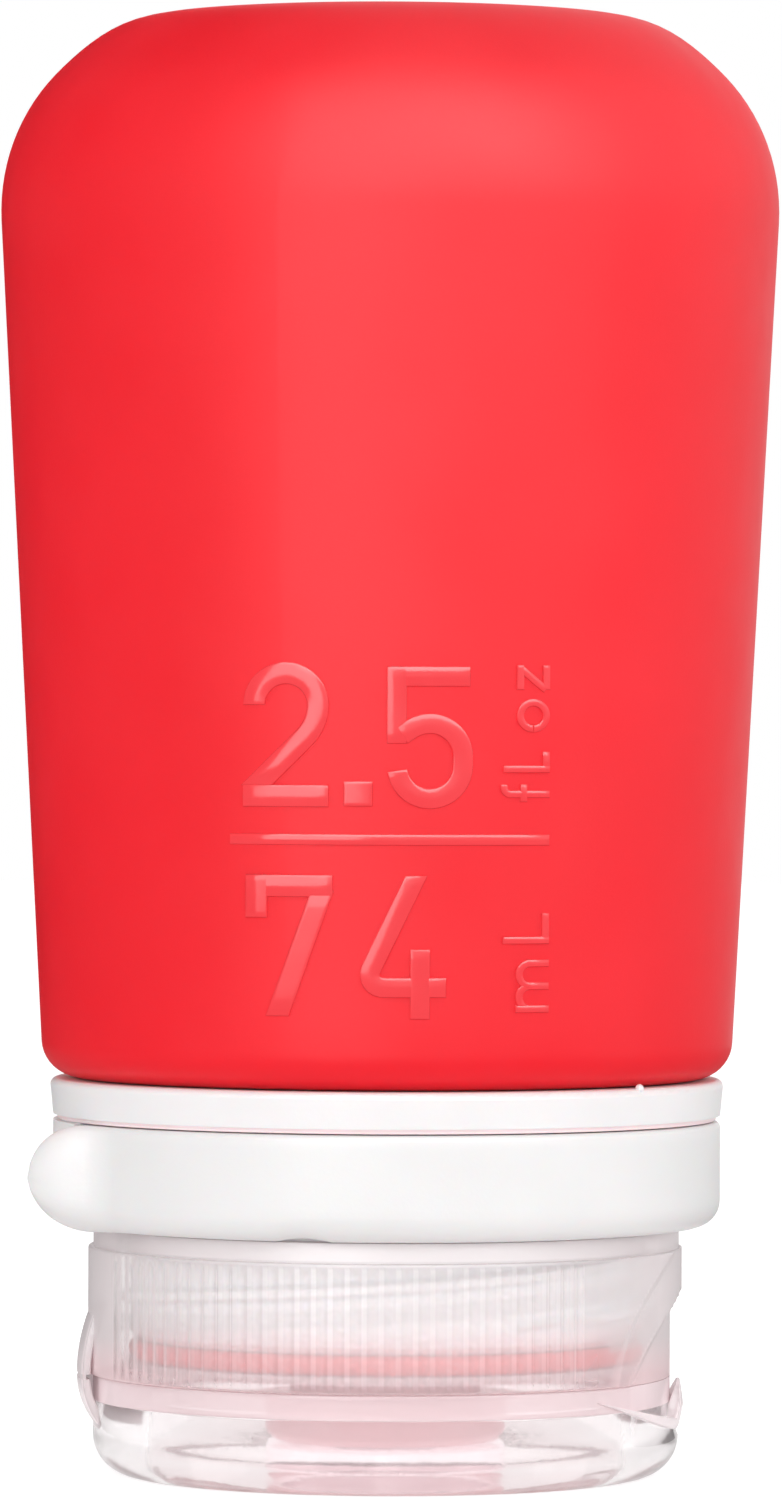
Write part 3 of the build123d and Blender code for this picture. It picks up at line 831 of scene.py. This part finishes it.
# %% Section of the band
band_radius = 19.6
band_thickness = 2.45
band_low = 14.70
band_height = 6.15
band_high = band_low + band_height
band_inner = band_radius - band_thickness
pivot_radius = band_radius - band_thickness / 2
pivot_angle = 12.0
flare_angle = -143.0
arm = profile_chain(
    (band_inner, band_low), (band_radius, band_low), (band_radius, band_high), (band_inner, band_high)
)
# The order of the roundings also decides how the bent end face at the pin is filled
inner_low, outer_low, outer_high, inner_high = arm.verts
round_corner(arm, outer_low, 1.5, 8)
round_corner(arm, inner_low, 0.2, 3)
round_corner(arm, outer_high, 0.35, 4)
round_corner(arm, inner_high, 0.25, 3)
divide_long(arm, 0.45)
turn_shape(arm, pivot_angle)
section = spin_on(arm, flare_angle - pivot_angle, 310)
print("arm section points:", len(section) // 2)

# %% Room at the pin, and the relief in the lower edge
lug_room_height = 1.35
lug_room_radius = band_thickness / 2 + 0.25
knuckle_room_radius = band_thickness / 2 - 0.02
fade_length = 3.0
relief_angle = -105.0
relief_half_length = 1.75
relief_height = 0.2
relief_fade = 1.5
for vert in arm.verts:
    radius = math.hypot(vert.co.x, vert.co.y)
    angle = math.degrees(math.atan2(vert.co.y, vert.co.x))
    behind = math.radians(pivot_angle - angle) * pivot_radius
    if behind < fade_length:
        low_part = vert.co.z < band_low + lug_room_height
        reach = lug_room_radius if low_part else knuckle_room_radius
        edge_back = math.sqrt(max(reach**2 - (radius - pivot_radius) ** 2, 0.0))
        behind = edge_back + behind * (fade_length - edge_back) / fade_length
        turned = math.radians(pivot_angle) - behind / pivot_radius
        vert.co.x = radius * math.cos(turned)
        vert.co.y = radius * math.sin(turned)
    along = math.radians(angle - relief_angle) * band_radius / relief_half_length
    above = (vert.co.z - band_low) / relief_fade
    if abs(along) < 1 and above < 1:
        vert.co.z += relief_height * (1 - along**2) * (1 - above)
print("lowest point of the arm:", round(min(vert.co.z for vert in arm.verts), 2))

# %% Flare and tab
flare_radius = 3.0
flare_heading = 168.0
tab_length = 3.54
tab_steps = 24
flare_middle = unit(flare_angle) * (band_radius + flare_radius)
flare_turn = flare_heading - (flare_angle + 360 - 90)
section = spin_on(arm, flare_turn, 34, section, flare_middle)
heading = unit(flare_heading)
across = unit(flare_heading + 90)
for step in range(tab_steps):
    section = bmesh.ops.extrude_edge_only(arm, edges=new_edges(section))["geom"]
    bmesh.ops.translate(arm, verts=new_verts(section), vec=heading * tab_length / tab_steps)
end_verts = new_verts(section)
tip = max(vert.co.dot(heading) for vert in end_verts)
tab_line = sum(vert.co.dot(across) for vert in end_verts) / len(end_verts)
print("tip of the tab:", round(tip, 2))

# %% Round end of the tab, which is longer below and soft like a pillow
tab_round = band_height / 2
tab_middle = band_low + tab_round
low_round = tab_round * 1.25
soft_length = 2.2
soft_reach = tab_round + soft_length
softness = 0.55
smallest_outline = 0.0004
for vert in arm.verts:
    end_round = tab_round if vert.co.z > tab_middle else low_round
    forward = max(vert.co.dot(heading) - (tip - end_round), 0.0) / end_round
    if vert.co.dot(heading) > tip - soft_reach:
        outline = math.sqrt(max(1 - forward**2, smallest_outline))
        vert.co.z = tab_middle + (vert.co.z - tab_middle) * outline
        share = math.hypot(forward, (vert.co.z - tab_middle) / tab_round)
        soft = min(1.0, (vert.co.dot(heading) - tip + soft_reach) / soft_length)
        pillow = 1 - soft * softness * min(share, 1.0) ** 5
        away = vert.co.dot(across) - tab_line
        vert.co -= across * away * (1 - pillow)
close_ends(arm, weld=True)
finish_piece(arm, "loop_band", "arm", arm_white, ("loop_arm",), sharp_angle=40)

# %% Knuckle round the pin
pin_hole_radius = 0.65
knuckle_radius = band_thickness / 2
knuckle_low = band_low + lug_room_height
knuckle = profile_chain(
    (pin_hole_radius, knuckle_low),
    (knuckle_radius, knuckle_low, 0.1, 3),
    (knuckle_radius, band_high, 0.3, 4),
    (pin_hole_radius, band_high),
)
divide_long(knuckle, 0.8)
spin_round(knuckle, 6, 8)
bmesh.ops.translate(knuckle, verts=knuckle.verts, vec=unit(pivot_angle) * pivot_radius)
finish_piece(knuckle, "loop_knuckle", "arm", arm_white)

# %% Latch tongue, which snaps into the rear band
tongue_inner = 17.25
tongue_outer = 18.05
tongue_low = 16.98
tongue_high = 18.58
tongue_start = -142
tongue_turn = -18.6
tongue = profile_chain(
    (tongue_inner, tongue_low, 0.15, 3),
    (tongue_outer, tongue_low, 0.15, 3),
    (tongue_outer, tongue_high, 0.15, 3),
    (tongue_inner, tongue_high, 0.15, 3),
)
turn_shape(tongue, tongue_start)
spin_on(tongue, tongue_turn, 24)
close_ends(tongue)
finish_piece(tongue, "latch_tongue", "arm", arm_white)

# %% [markdown]
# ## Screw cap
# A turned shell again: the spout and valve pocket in the middle, a platform that the lid closes on,
# and a skirt. The skirt's outer wall is spun in steps of a tenth of a flute's pitch, so that vertices
# can be pushed in for the flutes between the ribs and for the thumb scoop with its soft cove.

# %% Thumb scoop shared by cap and lid
cap_radius = 17.5
scoop_middle = -3.3
scoop_radius = 20.0
scoop_half_width = 12.3
scoop_floor = 3.65
scoop_span = 10.6
cove_width = 2.04
brow_height = 3.0
brow_fade = 1.0
edge_step = 0.12
edge_snap = 0.16


def scoop_top(y):
    """Height of the scoop's arched edge at a distance to the side, or its floor beyond its ends."""
    return scoop_floor + scoop_span * math.sqrt(max(1 - (y / scoop_half_width) ** 2, 0.0))


def scooped(vert):
    """Radius of the wall at a vertex once the scoop is taken out of it."""
    radius = math.hypot(vert.co.x, vert.co.y)
    turn = math.atan2(vert.co.y, vert.co.x)
    if vert.co.x < 0 or abs(vert.co.y) >= scoop_half_width or vert.co.z < scoop_floor - 0.001:
        return radius
    rise = scoop_top(vert.co.y) - vert.co.z
    if rise <= 0:
        return radius
    half_width = scoop_half_width * math.sqrt(1 - ((vert.co.z - scoop_floor) / scoop_span) ** 2)
    room = min(rise, half_width - abs(vert.co.y))
    share = min(room / cove_width, 1.0)
    sunk = min(max((rise - brow_height) / brow_fade, 0.0), 1.0)
    flat = scoop_middle * math.cos(turn) + math.sqrt(scoop_radius**2 - (scoop_middle * math.sin(turn)) ** 2)
    full = max(cap_radius - flat, 0.0) * (1 - (1 - share) ** 2)
    depth = max(min(full, edge_step), full * sunk * sunk * (3 - 2 * sunk))
    return min(radius, cap_radius - depth)


def take_scoop(shape, lowest, highest, wall):
    """Snaps a row to the scoop's edge, then pushes the outer wall in to the scoop."""
    columns = {}
    for vert in shape.verts:
        if math.hypot(vert.co.x, vert.co.y) > wall and lowest < vert.co.z < highest and vert.co.x > 0:
            columns.setdefault(round(math.atan2(vert.co.y, vert.co.x), 3), []).append(vert)
    for column in columns.values():
        edge = scoop_top(column[0].co.y)
        nearest = min(column, key=lambda vert: abs(vert.co.z - edge))
        if abs(nearest.co.z - edge) < edge_snap:
            nearest.co.z = edge
    for vert in shape.verts:
        radius = math.hypot(vert.co.x, vert.co.y)
        if radius > wall:
            pushed = scooped(vert)
            vert.co.x *= pushed / radius
            vert.co.y *= pushed / radius
    bmesh.ops.recalc_face_normals(shape, faces=shape.faces)


print("scoop's arch at its middle:", round(scoop_top(0), 2))

# %% Cap profile
spout_bore = 3.2
boss_radius = 7.05
boss_low = 2.2
pocket_radius = 5.6
pocket_floor = 3.0
platform = 4.70
platform_radius = 15.45
cap_edge = 5.97
deck = 6.30
cap_bore = 16.0
skirt_top = 13.45
rim_radius = 17.2
cap_rim = 14.62
cap = profile_chain(
    (spout_bore, boss_low),
    (boss_radius, boss_low, 0.4, 4),
    (boss_radius, platform, 0.2, 2),
    (platform_radius, platform),
    (platform_radius, cap_edge),
    (cap_radius, cap_edge, 0.15, 3),
    (cap_radius, skirt_top, 0.15, 3),
    (rim_radius, skirt_top),
    (rim_radius, cap_rim, 0.12, 2),
    (cap_bore, cap_rim, 0.12, 2),
    (cap_bore, deck, 0.3, 2),
    (pocket_radius, deck),
    (pocket_radius, pocket_floor),
    (spout_bore, pocket_floor),
)
outer_wall = [edge for edge in cap.edges if min(vert.co.x for vert in edge.verts) > cap_radius - 0.001]
bmesh.ops.subdivide_edges(cap, edges=outer_wall, cuts=27)
divide_long(cap, 2.6)
print("cap profile points:", len(cap.verts))

# %% Spin the cap, then flutes and scoop
flute_pitch = 3.2
flute_centre = 102.0
flutes_each_way = 16
flute_low = 6.32
flute_high = 12.95
flute_radius = 0.6
flute_sink = 0.083
flute_margin = 0.2
flute_fade = 0.35
cap_wall = 16.6
turn_shape(cap, -flute_centre)
spin_round(cap, 45, 25)
flute_half_width = math.sqrt(flute_radius**2 - (flute_radius - flute_sink) ** 2)
rib = cap.verts.layers.float.new("rib")
for vert in cap.verts:
    radius = math.hypot(vert.co.x, vert.co.y)
    from_ends = min(vert.co.z - flute_low + flute_margin, flute_high + flute_margin - vert.co.z)
    if radius < cap_radius - 0.001 or from_ends <= 0:
        continue
    from_centre = abs(math.degrees(math.atan2(vert.co.y, vert.co.x))) - flute_centre
    flute = round(from_centre / flute_pitch)
    offset = math.radians(from_centre - flute * flute_pitch) * cap_radius
    if abs(flute) <= flutes_each_way and abs(offset) >= flute_half_width:
        vert[rib] = 1.0
    elif abs(flute) <= flutes_each_way:
        depth = math.sqrt(flute_radius**2 - offset**2) - (flute_radius - flute_sink)
        depth *= min(from_ends / flute_fade, 1.0)
        vert.co.x *= (radius - depth) / radius
        vert.co.y *= (radius - depth) / radius
take_scoop(cap, cap_edge + edge_snap, skirt_top - edge_snap, cap_wall)
finish_piece(cap, "screw_cap", "cap", cap_clear, ("cap_base",), sharp_angle=30)

# %% [markdown]
# ## Flip lid
# A shallow clear cup that the bottle stands on, with a plug for the spout in its middle. The scoop
# runs on into it and ends on a ledge, out of which a thin lip rises for the thumb: its section is spun
# over the ledge's arc, and its heights follow two flat arcs and a rounded tongue.

# %% Lid shell
lid_radius = 17.2
lid_height = 5.85
lid_inner = 15.75
lid_ledge = 4.45
ledge_inner = 14.0
lid_floor = 0.85
lid_wall = 16.65
wall_cuts = 8
seat_radius = 7.05
seat_height = 1.95
plug_radius = 2.9
plug_bore = 2.2
plug_height = 2.7
lid = profile_chain(
    (0, 0),
    (lid_radius, 0, 2.4, 10),
    (lid_radius, lid_ledge),
    (ledge_inner, lid_ledge, 0.3, 4),
    (ledge_inner, lid_floor, 0.7, 5),
    (seat_radius, lid_floor),
    (seat_radius, seat_height, 0.2, 3),
    (plug_radius, seat_height),
    (plug_radius, plug_height, 0.25, 3),
    (plug_bore, plug_height),
    (plug_bore, seat_height),
    (0, seat_height),
    closed=False,
)


def wall_cells(chain, low):
    """Divides the outer wall above a height, so that the scoop can be pushed into it."""
    for edge in list(chain.edges):
        heights = [vert.co.z for vert in edge.verts]
        if min(vert.co.x for vert in edge.verts) > lid_radius - 0.01 and max(heights) - min(heights) > 1:
            middle = new_verts(bmesh.ops.subdivide_edges(chain, edges=[edge], cuts=wall_cuts)["geom_inner"])
            for step, vert in enumerate(sorted(middle, key=lambda vert: vert.co.z)):
                vert.co.z = low + (max(heights) - low) * step / wall_cuts


wall_cells(lid, scoop_floor)
divide_long(lid, 2.4)
print("lid profile points:", len(lid.verts))
spin_round(lid, 30, 24)
take_scoop(lid, scoop_floor + 0.1, lid_ledge, lid_wall)
finish_piece(lid, "flip_lid_shell", "lid", lid_clear, ("flip_lid",), sharp_angle=30)

# %% Lid rim, which is thinner and cloudier; its pink is painted red light from the silicone
rim_low = lid_ledge + 0.02
rim_high = lid_height + 0.08
rim = profile_chain(
    (lid_inner, rim_low),
    (lid_radius, rim_low),
    (lid_radius, rim_high, 0.12, 3),
    (lid_inner, rim_high, 0.1, 2),
)
wall_cells(rim, rim_low + 0.1)
spin_round(rim, 30, 24)
take_scoop(rim, rim_low + 0.05, rim_high - 0.2, lid_wall)
finish_piece(rim, "lid_rim", "lid", rim_milky_painted_red, sharp_angle=30)

# %% Thumb lip
thumb_low = lid_height - 3.05
thumb_high = lid_height - 2.35
thumb_end = lid_height - 0.65
thumb_tip = lid_height - 0.15
thumb_back = 16.55
thumb_bulge = 0.25
thumb_lean = 0.1
foot_taper = 0.15
tip_taper = 0.4
thinnest = 0.01
tongue_half_width = 3.2
section_inner = lid_radius - 0.5
section_outer = section_inner + 1


def flat_arc(y, middle, ends):
    """Height of the flat arc that has one height in the middle and another at the scoop's ends."""
    sagitta = ends - middle
    radius = (scoop_half_width**2 + sagitta**2) / (2 * sagitta)
    return middle + radius - math.sqrt(radius**2 - min(abs(y), scoop_half_width) ** 2)


thumb = profile_chain(
    (section_inner, 0, 0.16, 3),
    (section_outer, 0, 0.16, 3),
    (section_outer, 1, 0.16, 3),
    (section_inner, 1, 0.16, 3),
)
divide_long(thumb, 0.09)
turn_shape(thumb, -45)
spin_on(thumb, 90, 240)
for vert in thumb.verts:
    radius = math.hypot(vert.co.x, vert.co.y)
    turn = math.atan2(vert.co.y, vert.co.x)
    y = lid_radius * math.sin(turn)
    low_line = flat_arc(y, thumb_low, thumb_end)
    tongue_rise = (thumb_tip - thumb_low) * math.sqrt(max(1 - (y / tongue_half_width) ** 2, 0.0))
    high_line = max(flat_arc(y, thumb_high, thumb_end), thumb_low + tongue_rise)
    height = low_line + vert.co.z * max(high_line - low_line, thinnest)
    above = (height - thumb_low) / (thumb_tip - thumb_low)
    outer = lid_radius + thumb_bulge * (1 - abs(2 * above - 1)) + thumb_lean * above
    inner = thumb_back + foot_taper * min(above * 2, 1.0) + tip_taper * max(above * 2 - 1, 0.0)
    place = inner + (radius - section_inner) * (outer - inner)
    vert.co = (place * math.cos(turn), place * math.sin(turn), height)
close_ends(thumb)
finish_piece(thumb, "thumb_lip", "lid", strap_milky, sharp_angle=40)

# %% [markdown]
# ## Strap hinge
# One bowed strap joins cap and lid at the back, moulded with both: a thick half that springs from
# the cap, a thick half that springs from the lid, and a thin film between them that bends on the real
# lid; here the film is one straight piece that moves with neither half.

# %% Halves of the strap
hinge_height = 5.91
strap_reach = 18.15
strap_half_width = 4.0
strap_thickness = 0.5
strap_round = 0.14


def wrap_round(shape):
    """Bends the strap sideways, so that it follows the round of the cap."""
    for vert in shape.verts:
        vert.co.x += vert.co.y**2 / (2 * cap_radius)


def strap_half(bow_radius, from_angle, to_angle, name, body, material):
    """Sweeps a rounded strip along its bow; angles rise above the hinge's height."""
    strip = bmesh.new()
    bmesh.ops.create_grid(strip, x_segments=1, y_segments=1, size=0.5)
    bmesh.ops.delete(strip, geom=strip.faces[:], context="FACES_ONLY")
    bmesh.ops.scale(strip, verts=strip.verts, vec=(strap_thickness, 2 * strap_half_width, 1))
    soften(strip, strip.verts[:], strap_round, 3)
    divide_long(strip, 0.5)
    middle = (strap_thickness / 2 - strap_reach, 0, hinge_height)
    bmesh.ops.translate(strip, verts=strip.verts, vec=middle)
    centre = (bow_radius - strap_reach, 0, hinge_height)
    turn_shape(strip, from_angle, "Y", centre)
    spin_on(strip, to_angle - from_angle, 20, centre=centre, axis=(0, 1, 0))
    close_ends(strip)
    wrap_round(strip)
    return finish_piece(strip, name, body, material, sharp_angle=40)


strap_half(10.3, 0.83, 22.6, "strap_cap_half", "cap", strap_milky)
strap_half(4.5, -1.9, -42.4, "strap_lid_half", "lid", strap_milky)

# %% Film between the halves
film_height = 0.4
film_width = 2 * strap_half_width - 0.3
film_thickness = 0.2
film_inset = 0.25
film = bmesh.new()
bmesh.ops.create_grid(film, x_segments=2, y_segments=10, size=0.5)
bmesh.ops.scale(film, verts=film.verts, vec=(film_height, film_width, 1))
turn_shape(film, 90, "Y")
bmesh.ops.translate(film, verts=film.verts, vec=(-strap_reach + film_inset, 0, hinge_height))
bmesh.ops.solidify(film, geom=film.faces[:], thickness=film_thickness)
wrap_round(film)
bmesh.ops.recalc_face_normals(film, faces=film.faces)
film_piece = finish_piece(film, "hinge_film", None, strap_milky, sharp_angle=40)
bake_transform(film_piece)

# %% [markdown]
# ## Seam, threads and nib
# Small forms of collar and cap that the solids leave out: a step under the flange that closes the
# seam, the ridges of the screw thread between sleeve and cap, and the nib where the plastic flowed
# into the mould.

# %% Step under the flange, which closes the seam above the arm behind a shallow groove; its pink is painted red light from the silicone
step_inner = 16.95
step_radius = 19.35
step_low = 20.92
step_high = 21.30
step = profile_chain(
    (step_inner, step_low),
    (step_radius, step_low, 0.08, 2),
    (step_radius, step_high),
    (step_inner, step_high),
)
divide_long(step, 0.8)
spin_round(step, 15, 24)
finish_piece(step, "flange_step", "bottle", seam_painted_red_light)

# %% Threads: two starts, six millimetres of lead, male on the sleeve and female in the cap
lead = 6.0
half_foot = 0.5
half_crest = 0.2
fade_angle = 14.0
angle_each = 3
root_overlap = 0.03


def thread(name, root, crest, low, turn, first_angle, body, slot, material):
    """One start of a right-handed thread: a trapezoid ridge swept up a helix, faded out at both ends."""
    ridge = profile_chain(
        (root, low - half_foot),
        (crest, low - half_crest),
        (crest, low + half_crest),
        (root, low + half_foot),
    )
    turn_shape(ridge, first_angle)
    steps = int(turn / angle_each)
    spin_on(ridge, turn, steps, dvec=(0, 0, lead * turn / 360 / steps))
    edge = root - math.copysign(root_overlap, crest - root)
    for vert in ridge.verts:
        radius = math.hypot(vert.co.x, vert.co.y)
        if abs(radius - root) < 0.01:
            share = edge / radius
        else:
            rise = min(max(vert.co.z - low, 0.0), lead * turn / 360) / lead * 360
            fullness = min(rise, turn - rise, fade_angle) / fade_angle
            share = (root + (crest - root) * fullness) / radius
        vert.co.x *= share
        vert.co.y *= share
    close_ends(ridge)
    finish_piece(ridge, name, body, material, sharp_angle=40)


cap_behind = 156
on_sleeve = ("bottle", "white_plastic", sleeve_white_painted_light)
in_cap = ("cap", "clear_cap_plastic", thread_milky)
for start, angle in (("first", -60), ("second", 120)):
    thread(f"sleeve_thread_{start}", 15.0, 15.6, 9.4, 240, angle, *on_sleeve)
    thread(f"cap_thread_{start}", 16.0, 15.35, 8.3, 200, angle - cap_behind, *in_cap)

# %% Moulding nib on the flange
nib_radius = 0.26
nib_angle = -42
nib_reach = 19.5
nib_height = 23.3
nib = bmesh.new()
bmesh.ops.create_icosphere(nib, subdivisions=3, radius=nib_radius)
bmesh.ops.translate(nib, verts=nib.verts, vec=unit(nib_angle) * nib_reach + Vector((0, 0, nib_height)))
finish_piece(nib, "flange_nib", "bottle", collar_white)

# %% [markdown]
# ## Pieces that keep their imported shape
# The collar, pin, gasket, valve and its ring are true to size already; they only get their finishes.
# The collar's sleeve is painted lighter than its flange, for light that comes through the milky cap, and
# painted pink next to the silicone's lip, for red light from the silicone.

# %% Finishes for the imported pieces
sleeve_painted_light_at = (14.6, 14.2)
painted_red_near_lip_at = (9.6, 8.6)
collar_tree = collar_white.node_tree
collar_shader = collar_tree.nodes["Principled BSDF"]
flange_tone = collar_shader.inputs["Base Color"].links[0].from_socket
collar_height = axis_and_height(collar_tree)[1]
# Painted light: the sleeve below the flange, seen through the milky cap, is lighter than the flange.
sleeve_painted_light_share = add_zone(collar_tree, collar_height, sleeve_painted_light_at)
sleeve_painted_light_tone = add_mix(collar_tree, sleeve_painted_light_share, flange_tone, (0.94, 0.925, 0.93))
# Painted red light from the silicone: the sleeve turns pink next to the lip.
painted_red_near_lip = add_zone(collar_tree, collar_height, painted_red_near_lip_at)
painted_lip_red_light = add_mix(collar_tree, painted_red_near_lip, sleeve_painted_light_tone, (0.86, 0.63, 0.655))
set_inputs(collar_tree, collar_shader, Base_Color=painted_lip_red_light)
for name, material in (
    ("collar", collar_white),
    ("loop_pin", pin_steel),
    ("valve", valve_clear),
    ("valve_retainer", retainer_clear),
    ("cap_gasket", gasket_clear),
):
    nodes[name].data.materials.clear()
    nodes[name].data.materials.append(material)
    print(name, "is dressed in", material.name)
